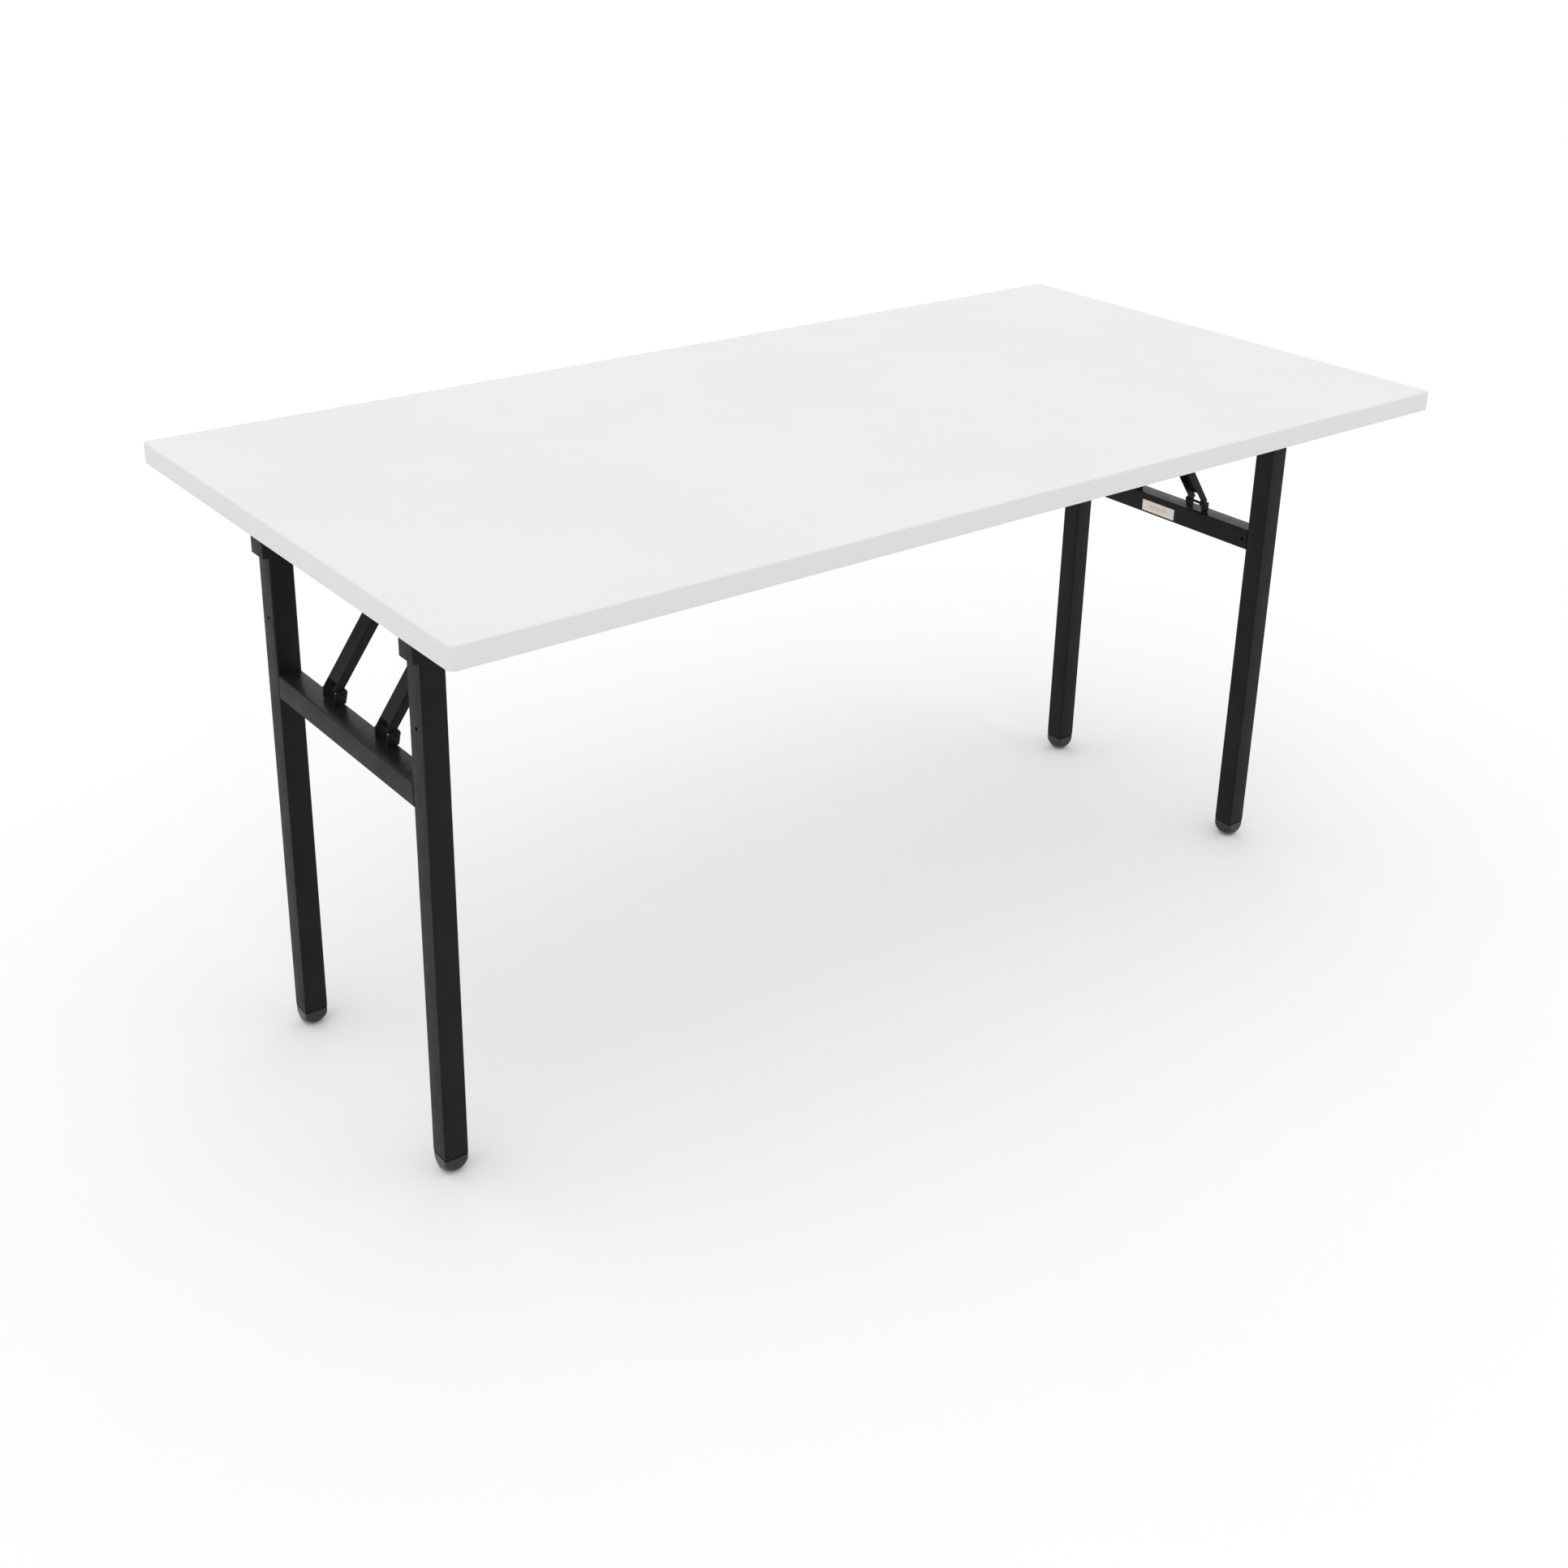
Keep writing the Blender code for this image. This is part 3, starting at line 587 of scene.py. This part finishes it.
def make_studio():
    scene = bpy.context.scene
    scene.view_settings.view_transform = "Standard"
    world = bpy.data.worlds.new("studio")
    scene.world = world
    world.use_nodes = True
    backdrop = world.node_tree.nodes["Background"]
    backdrop.inputs["Color"].default_value = (1.0, 1.0, 1.0, 1.0)
    backdrop.inputs["Strength"].default_value = 1.0
    data = bpy.data.lights.new("overhead", "SUN")
    data.energy = SUN_STRENGTH
    data.angle = math.radians(SUN_ANGLE)
    light = bpy.data.objects.new("overhead", data)
    scene.collection.objects.link(light)
    light.rotation_euler = Vector(SUN_AIM).to_track_quat("-Z", "Y").to_euler()
    floor = box("floor", (-FLOOR_REACH, -FLOOR_REACH, -FLOOR_THICKNESS), (FLOOR_REACH, FLOOR_REACH, 0.0))
    material, tree, shader = start_material("pale_floor")
    tint = blend_colour(tree, noise(tree, 0.8, 3), (0.91, 0.91, 0.91), (0.93, 0.93, 0.93))
    tree.links.new(tint, shader.inputs["Base Color"])
    plain(shader, Roughness=0.8, Specular_IOR_Level=0.1)
    floor.data.materials.append(material)


# The table top

def make_top():
    for node, slot in (("top_core", "particle_board"), ("top_laminate", "white_melamine"),
                       ("underside_laminate", "underside_laminate")):
        frame["nodes"][node].material_slots[0].material = FINISH[slot]
    for node, cad in frame["nodes"].items():
        if node.startswith("catch_spring"):
            cad.material_slots[0].material = FINISH["spring_steel"]
    make_edge_band()


def make_edge_band():
    """One strip of edging round the board, its two ends meeting at the middle of the rear."""
    low, high = corners("edge_band")
    inner_low, _ = corners("top_laminate")
    depth = inner_low.x - low.x - 0.00004
    seam = 0.00012
    section = [(depth, low.z), (BAND_ROUND, low.z)]
    for turn in map(math.radians, (22, 45, 67, 90)):
        section.append((BAND_ROUND * (1 - math.sin(turn)), low.z + BAND_ROUND * (1 - math.cos(turn))))
    section += [(inset, low.z + high.z - height) for inset, height in reversed(section)]
    reach_x, reach_y = high.x - PLAN_CORNER, high.y - PLAN_CORNER
    route = [(Vector((seam, high.y)), Vector((0, 1)))]
    for across, along, start in ((1, 1, 90), (1, -1, 0), (-1, -1, -90), (-1, 1, -180)):
        for step in range(11):
            turn = math.radians(start - 9 * step)
            outward = Vector((math.cos(turn), math.sin(turn)))
            route.append((Vector((across * reach_x, along * reach_y)) + outward * PLAN_CORNER, outward))
    route.append((Vector((-seam, high.y)), Vector((0, 1))))
    shape = bmesh.new()
    rings = []
    for point, outward in route:
        rings.append([shape.verts.new((*(point - outward * inset), height)) for inset, height in section])
    for first, second in zip(rings, rings[1:]):
        for index in range(len(section)):
            follow = (index + 1) % len(section)
            shape.faces.new((first[index], first[follow], second[follow], second[index]))
    shape.faces.new(rings[0])
    shape.faces.new(reversed(rings[-1]))
    band = shade(item_from_shape("edging", shape), 40)
    present(band, "table", "white_edge_band", "edge_band")


# Leg frames

def tube_outlines(width):
    outer = rounded_rectangle(width, width, TUBE_CORNER)
    inner_width = width - 2 * TUBE_WALL
    return [outer, rounded_rectangle(inner_width, inner_width, TUBE_CORNER - TUBE_WALL, 3)]


def channel_section(width, depth, sheet, bend):
    """Bent U: its web lies along up = 0 and its sides end at up = depth."""
    left, right = (bend - width / 2, bend), (width / 2 - bend, bend)
    outer = arc(left, bend, 180, 270, 5) + arc(right, bend, 270, 360, 5)
    inner = arc(right, bend - sheet, 360, 270, 4) + arc(left, bend - sheet, 270, 180, 4)
    outer = [(-width / 2, depth)] + outer + [(width / 2, depth)]
    return outer + [(width / 2 - sheet, depth)] + inner + [(sheet - width / 2, depth)]


def make_leg(end, side, place):
    node = "leg_%s_%s" % (end, place)
    low, high = corners(node)
    middle = (low + high) / 2
    width = high.x - low.x
    pivot = JOINTS["fold_" + end]["pos_m"]
    leg = prism("tube_" + node, tube_outlines(width), middle, high.z - low.z, PLAN)
    bore = prism("bore", [circle((0, 0), BOLT_HOLE)], (middle.x, middle.y, pivot[2]), 2 * width, FRONT_VIEW)
    vent = prism("vent", [circle((0, 0), VENT_RADIUS, 20)], (middle.x + side * width / 2, middle.y, VENT_Z),
                 width / 2, END_VIEW)
    carve(leg, bore, vent)
    present(soften(leg, 0.0003), "leg_frame_" + end, "black_powder_coat", node)
    make_glide(end, place, middle, width)


def make_glide(end, place, middle, width):
    """Foot glide: a recessed neck that shows as a dark seam, flat sides and a dome."""
    node = "foot_glide_%s_%s" % (end, place)
    _, high = corners(node)
    half = width / 2
    neck = half - GLIDE_NECK
    lip = high.z - GLIDE_SEAM
    levels = [(high.z + 0.0002, neck), (lip, neck), (lip - 0.0001, half - 0.0004), (lip - 0.0006, half)]
    steps = range(1, GLIDE_LEVELS + 1)
    levels += [(levels[-1][0] * (1 - (step / GLIDE_LEVELS) ** 1.4), half) for step in steps]
    shape = bmesh.new()
    rings = []
    for height, reach in levels:
        dome = GLIDE_DOME * math.sqrt(max(0.0, 1 - ((high.z - height) / (high.z + 0.0004)) ** 2))
        ring = []
        for step in range(GLIDE_SIDES):
            turn = 2 * math.pi * step / GLIDE_SIDES
            across, along = math.cos(turn), math.sin(turn)
            flat = reach / (abs(across) ** 16 + abs(along) ** 16) ** (1 / 16)
            extent = (flat ** -24 + max(dome, 0.001) ** -24) ** (-1 / 24)
            ring.append(shape.verts.new((middle.x + extent * across, middle.y + extent * along, height)))
        rings.append(ring)
    for first, second in zip(rings, rings[1:]):
        for index in range(GLIDE_SIDES):
            follow = (index + 1) % GLIDE_SIDES
            shape.faces.new((first[index], first[follow], second[follow], second[index]))
    shape.faces.new(rings[0])
    shape.faces.new(reversed(rings[-1]))
    glide = shade(item_from_shape("glide_%s_%s" % (end, place), shape), 40)
    present(glide, "leg_frame_" + end, "black_plastic", node)


def bead(name, route):
    """A rippled weld bead along an open route, thinning to its ends."""
    points = [Vector(point) for point in route]
    lengths = [(after - before).length for before, after in zip(points, points[1:])]
    total = sum(lengths)
    count = int(total / WELD_STEP)
    samples = []
    for step in range(count + 1):
        distance = total * step / count
        index = 0
        while index < len(lengths) - 1 and distance > lengths[index]:
            distance -= lengths[index]
            index += 1
        samples.append(points[index].lerp(points[index + 1], min(distance / lengths[index], 1.0)))
    shape = bmesh.new()
    rings = []
    for step, point in enumerate(samples):
        along = (samples[min(step + 1, count)] - samples[max(step - 1, 0)]).normalized()
        first = along.orthogonal().normalized() if abs(along.y) > 0.5 else Vector((0, 1, 0))
        second = along.cross(first)
        travel = total * step / count
        taper = min(1.0, 0.25 + min(travel, total - travel) / (2 * WELD))
        ripple = 0.09 * math.sin(2 * math.pi * travel / WELD_RIPPLE) + 0.05 * math.sin(911 * travel)
        swell = WELD * taper * (1 + ripple)
        turns = [2 * math.pi * index / WELD_SIDES for index in range(WELD_SIDES)]
        rings.append([shape.verts.new(point + (first * math.cos(turn) + second * math.sin(turn)) * swell)
                      for turn in turns])
    for first, second in zip(rings, rings[1:]):
        for index in range(WELD_SIDES):
            follow = (index + 1) % WELD_SIDES
            shape.faces.new((first[index], first[follow], second[follow], second[index]))
    shape.faces.new(rings[0])
    shape.faces.new(reversed(rings[-1]))
    return shade(item_from_shape(name, shape), 70)


def make_crossbar(end, side):
    """Crossbar welded over and under its ends; the outer and inner faces are ground flush."""
    node = "crossbar_" + end
    low, high = corners(node)
    middle = (low + high) / 2
    width = high.x - low.x
    bar = prism("tube_" + node, tube_outlines(width), middle, high.y - low.y, FRONT_VIEW)
    vents = []
    for place, depth in PLACES.items():
        spot = (middle.x - side * width / 2, depth * (high.y - VENT_INSET), middle.z)
        vents.append(prism("vent_" + place, [circle((0, 0), VENT_RADIUS, 20)], spot, width / 2, END_VIEW))
    carve(bar, *vents)
    present(soften(bar, 0.0003), "leg_frame_" + end, "black_powder_coat", node)
    span = width / 2 - TUBE_CORNER
    for place, depth in PLACES.items():
        for level, z in (("top", high.z), ("under", low.z)):
            y = depth * (high.y - WELD * 0.2)
            route = [(middle.x - span, y, z), (middle.x + span, y, z)]
            weld = bead("weld_%s_%s_%s" % (end, place, level), route)
            present(weld, "leg_frame_" + end, "black_powder_coat")


def make_lug(end, side, place):
    node = "brace_lug_%s_%s" % (end, place)
    low, high = corners(node)
    middle = (low + high) / 2
    pin = JOINTS["brace_swing_" + end]["pos_m"]
    width = high.y - low.y
    section = channel_section(width, high.z - low.z, LUG_SHEET, LUG_SHEET + 0.0008)
    lug = prism("lug_%s_%s" % (end, place), [section], (middle.x, middle.y, low.z), high.x - low.x, END_VIEW)
    outer_x = max(abs(low.x), abs(high.x))
    inner_x = LUG_BASE_INNER_X
    pin_x, pin_z = abs(pin[0]), pin[2]
    ear = [(outer_x, low.z), (inner_x, low.z), (inner_x, low.z + LUG_SHEET)]
    ear += arc((pin_x, pin_z), high.z - pin_z, 185, 50, 16)
    ear += arc((outer_x - EAR_CORNER, pin_z - EAR_CORNER), EAR_CORNER, 60, 0, 4)
    trim = prism("trim", [mirrored(side, ear), mirrored(side, circle((pin_x, pin_z), PIN_HOLE))],
                 (0, middle.y, 0), 2 * width, FRONT_VIEW)
    carve(lug, trim, operation="INTERSECT")
    present(soften(lug, 0.0004), "leg_frame_" + end, "black_powder_coat", node)
    for edge, y in (("front", low.y), ("rear", high.y)):
        route = [(side * (inner_x + 0.002), y, low.z), (side * (outer_x - 0.001), y, low.z)]
        weld = bead("lug_weld_%s_%s_%s" % (end, place, edge), route)
        present(weld, "leg_frame_" + end, "black_powder_coat")
    make_rivet(end, place, middle.y, width / 2, pin)


def make_rivet(end, place, y, half, pin):
    """Painted rivet through the lug: domed heads and a shank in the brace's ears."""
    node = "lug_pin_%s_%s" % (end, place)
    low, high = corners(node)
    reach = (high.y - low.y) / 2
    radius = (high.z - low.z) / 2
    seat = half + CLEARANCE
    upper = [(0.0, reach)]
    for turn in map(math.radians, (15, 30, 45, 60, 75, 90)):
        upper.append((radius * math.sin(turn), seat + (reach - seat) * math.cos(turn)))
    upper.append((PIN_HOLE - CLEARANCE, seat))
    profile = upper + [(across, -up) for across, up in reversed(upper)]
    rivet = shade(turned("rivet_%s_%s" % (end, place), profile, (pin[0], y, pin[2]), (0, 1, 0)), 50)
    present(rivet, "leg_frame_" + end, "black_powder_coat", node)


# Brace sets

def make_brace(end, side, place):
    """Bent channel between the lug pin and the cross rod, as in the CAD model."""
    node = "brace_%s_%s" % (end, place)
    low, high = corners(node)
    y = (low.y + high.y) / 2
    width = high.y - low.y
    pin = Vector(JOINTS["brace_swing_" + end]["pos_m"])
    rod = middle_of("cross_rod_" + end)
    run = Vector((rod.x - pin.x, 0, rod.z - pin.z))
    length = run.length
    along = run.normalized()
    outward = Vector((side * along.z, 0, abs(along.x)))
    foot = Vector((pin.x, y, pin.z))
    rise = BRACE_FOOT_BACK - BRACE_BACK
    tilted_along = (along * length - outward * rise).normalized()
    tilted_out = Vector((side * tilted_along.z, 0, abs(tilted_along.x)))
    section = channel_section(width, 2 * width, BRACE_SHEET, BRACE_SHEET + 0.0003)
    section = [(across, BRACE_BACK - up) for across, up in section]
    across_axis = Vector((0, 1, 0))
    section_plane = Matrix((across_axis, tilted_out, across_axis.cross(tilted_out))).transposed().to_4x4()
    start = foot + outward * rise + tilted_along * (length / 2)
    channel = prism("channel_%s_%s" % (end, place), [section], start, length + 0.04, section_plane)
    side_plane = Matrix((along, outward, across_axis)).transposed().to_4x4()
    radius = (BRACE_BACK + BRACE_LIP) / 2
    lip_turn = math.degrees(math.asin(BRACE_FOOT_LIP / BRACE_EAR))
    outline = arc((0, 0), BRACE_EAR, 180, 360 - lip_turn, 20)
    outline += arc((length, (BRACE_BACK - BRACE_LIP) / 2), radius, -90, 90, 20)
    end_centre = (BRACE_END_ROUND - BRACE_EAR, BRACE_FOOT_BACK - BRACE_END_ROUND)
    outline += arc(end_centre, BRACE_END_ROUND, 90, 180, 5)
    holes = [circle((0, 0), PIN_HOLE), circle((length, 0), ROD_RADIUS + CLEARANCE)]
    trim = prism("trim", [outline] + holes, foot, 2 * width, side_plane)
    carve(channel, trim, operation="INTERSECT")
    cutters = []
    ends = (("lower", -width, BRACE_WEB_CUT), ("upper", length - BRACE_WEB_CUT, length + width))
    for name, near, far in ends:
        notch = [(near, -width), (far, -width), (far, width), (near, width)]
        cutters.append(prism(name, [notch], foot, width - 2 * BRACE_SHEET, side_plane))
    carve(channel, *cutters)
    present(soften(channel, 0.0003), "brace_set_" + end, "black_powder_coat", node)


def make_rod(end):
    node = "cross_rod_" + end
    low, high = corners(node)
    middle = (low + high) / 2
    half = (high.y - low.y) / 2
    upper = [(0, half), (ROD_RADIUS - ROD_CHAMFER, half), (ROD_RADIUS, half - ROD_CHAMFER)]
    profile = upper + [(across, -up) for across, up in reversed(upper)]
    rod = shade(turned("rod_" + end, profile, middle, (0, 1, 0)), 40)
    present(rod, "brace_set_" + end, "zinc_steel", node)
    for place, depth in PLACES.items():
        bush_node = "slide_bush_%s_%s" % (end, place)
        bush_low, bush_high = corners(bush_node)
        y = (bush_low.y + bush_high.y) / 2
        reach = (bush_high.y - bush_low.y) / 2
        wall = (bush_high.z - bush_low.z) / 2
        bush = [(ROD_RADIUS + 0.0002, reach), (wall - BUSH_CHAMFER, reach), (wall, reach - BUSH_CHAMFER)]
        bush += [(across, -up) for across, up in reversed(bush)]
        bush.append(bush[0])
        sleeve = shade(turned("bush_%s_%s" % (end, place), bush, (middle.x, y, middle.z), (0, 1, 0)), 40)
        present(sleeve, "brace_set_" + end, "nylon", bush_node)
        clip_place = (middle.x, depth * (half - CLIP_INSET), middle.z)
        clip = shade(turned("clip_%s_%s" % (end, place), CLIP_SECTION, clip_place, (0, depth, 0)), 40)
        present(clip, "brace_set_" + end, "spring_steel")


# Hardware under the top

def make_housing(end, side, place, depth):
    """Sheet bent round the leg's outer face, its cheeks cut back inboard, on a screwed flange."""
    node = "hinge_housing_%s_%s" % (end, place)
    low, high = corners(node)
    leg = middle_of("leg_%s_%s" % (end, place))
    leg_low, leg_high = corners("leg_%s_%s" % (end, place))
    pivot = JOINTS["fold_" + end]["pos_m"]
    half = (leg_high.y - leg_low.y) / 2 + HOUSING_SIDE_GAP + HOUSING_SHEET
    outer_x = max(abs(low.x), abs(high.x))
    inner_x = min(abs(low.x), abs(high.x))
    section = channel_section(2 * half, outer_x - inner_x, HOUSING_SHEET, 2 * HOUSING_SHEET)
    outline = [(side * (outer_x - up), leg.y + across) for across, up in section]
    shell = prism("housing_%s_%s" % (end, place), [outline], (0, 0, (low.z + high.z - HOUSING_SHEET) / 2),
                  high.z - low.z - HOUSING_SHEET, PLAN)
    past = HOUSING_SHOULDER_X - HOUSING_CUT_PAST
    slope = [(past, low.z - HOUSING_CUT_PAST), (HOUSING_HEEL_X, low.z - HOUSING_SHEET),
             (HOUSING_SHOULDER_X, HOUSING_SHOULDER_Z), (past, HOUSING_SHOULDER_Z)]
    cutter = prism("slope", [mirrored(side, slope)], (0, leg.y, 0), THROUGH, FRONT_VIEW)
    bore = prism("bore", [circle((0, 0), BOLT_HOLE)], (pivot[0], leg.y, pivot[2]), THROUGH, FRONT_VIEW)
    carve(shell, cutter, bore)
    present(soften(shell, 0.0003), "table", "black_powder_coat", node)
    plate_middle = ((low.x + high.x) / 2, leg.y, high.z - HOUSING_SHEET / 2)
    outline = rounded_rectangle(high.x - low.x, high.y - low.y, FLANGE_CORNER)
    plate = prism("flange_%s_%s" % (end, place), [outline], plate_middle, HOUSING_SHEET, PLAN)
    present(soften(plate, 0.0003), "table", "black_powder_coat")
    for across in (-1, 1):
        for out in (-1, 1):
            spot = (plate_middle[0] + across * FLANGE_SCREW_X, leg.y + out * (half + FLANGE_SCREW_Y),
                    high.z - HOUSING_SHEET)
            make_screw("screw_%s_%s_%d%d" % (end, place, across > 0, out > 0), spot)
    make_bolt(end, place, depth, leg.y, half, pivot)


def make_screw(name, spot):
    """Pan-head wood screw seen from below, with a cross recess."""
    head = [(0.0, -SCREW_RIM - SCREW_CROWN)]
    for turn in map(math.radians, (20, 40, 60, 80, 90)):
        head.append((SCREW_HEAD * math.sin(turn) ** 0.8, -SCREW_RIM - SCREW_CROWN * math.cos(turn)))
    profile = head + [(SCREW_HEAD, -0.0001), (0.0, -0.0001)]
    screw = turned(name, profile, spot, (0, 0, 1), 24)
    z = spot[2]
    arms = []
    for width, length in ((RECESS_WIDTH, RECESS_LENGTH), (RECESS_LENGTH, RECESS_WIDTH)):
        arms.append(box("arm", (spot[0] - width / 2, spot[1] - length / 2, z - 0.0030),
                        (spot[0] + width / 2, spot[1] + length / 2, z - 0.0011)))
    carve(screw, *arms)
    present(shade(screw, 35), "table", "zinc_steel")


def make_bolt(end, place, depth, y, half, pivot):
    node = "hinge_bolt_%s_%s" % (end, place)
    low, high = corners(node)
    crown = max(abs(low.y), abs(high.y)) - abs(y)
    tail = min(abs(low.y), abs(high.y)) - abs(y)
    seat = half + SEAT_GAP
    profile = [(0.0, crown)]
    for turn in map(math.radians, DOME_TURNS):
        profile.append((BOLT_HEAD_RADIUS * math.sin(turn), seat + (crown - seat) * math.cos(turn)))
    profile += [(BOLT_RADIUS, seat), (BOLT_RADIUS, tail + BOLT_CHAMFER), (BOLT_RADIUS - BOLT_CHAMFER, tail),
                (0.0, tail)]
    middle = (pivot[0], y, pivot[2])
    bolt = turned("bolt_%s_%s" % (end, place), profile, middle, (0, depth, 0))
    mouth = (pivot[0], y + depth * (crown + SOCKET_OUT), pivot[2])
    socket = prism("socket", [circle((0, 0), SOCKET_RADIUS, 6)], mouth, SOCKET_LENGTH, FRONT_VIEW)
    carve(bolt, socket)
    present(shade(bolt, 35), "table", "zinc_steel", node)
    nut_node = "hinge_nut_%s_%s" % (end, place)
    nut_low, nut_high = corners(nut_node)
    nut_y = (nut_low.y + nut_high.y) / 2
    thick = nut_high.y - nut_low.y
    nut_middle = (pivot[0], nut_y, pivot[2])
    outlines = [circle((0, 0), NUT_RADIUS, 6), circle((0, 0), NUT_BORE)]
    nut = prism("nut_%s_%s" % (end, place), outlines, nut_middle, thick, FRONT_VIEW)
    cone = [(0.0, thick / 2), (NUT_FACE, thick / 2), (NUT_CONE, thick / 2 - NUT_CHAMFER)]
    cone += [(radius, -height) for radius, height in reversed(cone)]
    chamfer = turned("chamfer", cone, nut_middle, (0, 1, 0))
    carve(nut, chamfer, operation="INTERSECT")
    present(shade(nut, 30), "table", "zinc_steel", nut_node)


def make_guide(end, place, depth):
    node = "brace_guide_%s_%s" % (end, place)
    cad = frame["nodes"][node]
    cad.material_slots[0].material = FINISH["black_powder_coat"]
    low, high = corners(node)
    for share in GUIDE_SCREWS:
        x = low.x + (high.x - low.x) * share
        y = (low.y + high.y) / 2 + depth * GUIDE_SCREW_OUT
        make_screw("guide_screw_%s_%s_%d" % (end, place, int(share * 100)), (x, y, high.z - GUIDE_SHEET))


def make_label():
    """Paper label with rounded corners on the crossbar."""
    low, high = corners("label")
    middle = (low + high) / 2
    size = high - low
    outline = rounded_rectangle(size.y, size.z, 0.0012, 5)
    label = prism("paper_label", [outline], middle, size.x, END_VIEW)
    present(soften(label, 0.00008, 1), "leg_frame_right", "label_paper", "label")


def make_table():
    make_top()
    for end, side in ENDS.items():
        make_crossbar(end, side)
        make_rod(end)
        for place, depth in PLACES.items():
            make_leg(end, side, place)
            make_lug(end, side, place)
            make_brace(end, side, place)
            make_housing(end, side, place, depth)
            make_guide(end, place, depth)
    make_label()


make_camera()
make_studio()
make_table()
